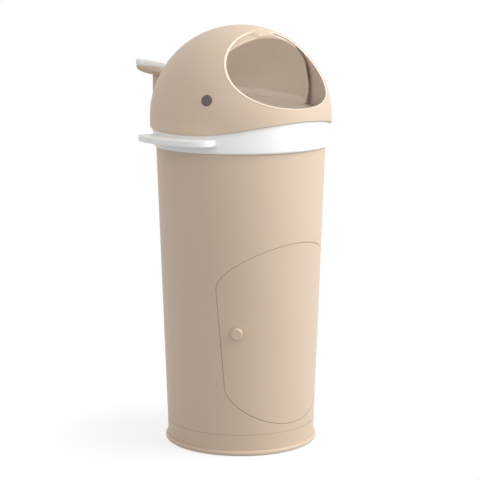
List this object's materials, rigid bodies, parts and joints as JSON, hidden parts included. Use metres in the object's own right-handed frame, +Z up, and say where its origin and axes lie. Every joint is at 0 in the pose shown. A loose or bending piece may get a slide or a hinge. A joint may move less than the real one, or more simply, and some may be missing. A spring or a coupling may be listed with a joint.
{
  "type": "nappy bin",
  "caption": "Tall round nappy bin with a domed turning scoop lid, a tail lever at the back, a lift-off collar with side fins and a bag door.",
  "frame": {"origin": "middle of the base's underside, on the floor", "axes": "+Z up; the mouth and the bag door face -Y; the tail lever is at +Y; +X is the door's hinge side"},
  "size_m": [0.326, 0.3143, 0.6153],
  "materials": {
    "beige_shell": "matte moulded polypropylene",
    "tray_beige": "matte moulded polypropylene, lighter",
    "white_shell": "satin white ABS",
    "eye_dark": "dark grey-brown satin plastic",
    "rubber": "matte thermoplastic rubber",
    "steel": "zinc-plated steel",
    "bush": "natural acetal",
    "magnet": "ferrite magnet"
  },
  "bodies": {
    "bin": {"base_pan": "beige_shell", "anti_slip_ring": "rubber", "base_screws": "steel", "body_tube": "beige_shell", "door_hinge_pin": "steel", "catch_magnet": "magnet"},
    "door": {"door_panel": "beige_shell", "door_knob": "beige_shell", "knob_screw": "steel", "catch_plate": "steel"},
    "head": {"collar": "white_shell", "bag_seal": "rubber", "dome": "beige_shell", "eye_left": "eye_dark", "eye_right": "eye_dark", "pivot_pin_left": "steel", "pivot_pin_right": "steel"},
    "scoop": {"pivot_bushes": "bush", "scoop_shell": "beige_shell", "scoop_tray": "tray_beige", "tray_screws": "steel", "tail_arm": "beige_shell", "fluke_plate": "white_shell", "tail_screws": "steel"}
  },
  "joints": [
    {"name": "head_lift", "type": "slide", "parent": "bin", "child": "head", "axis": [0, 0, 1], "range_m": [0, 0.15]},
    {"name": "door_swing", "type": "hinge", "parent": "bin", "child": "door", "pos_m": [0.0922, -0.06424, 0.105], "axis": [0.0702, 0.0463, 0.9965], "range_deg": [0, 100]},
    {"name": "scoop_turn", "type": "hinge", "parent": "head", "child": "scoop", "pos_m": [0, 0, 0.4823], "axis": [1, 0, 0], "range_deg": [0, 56]}
  ]
}
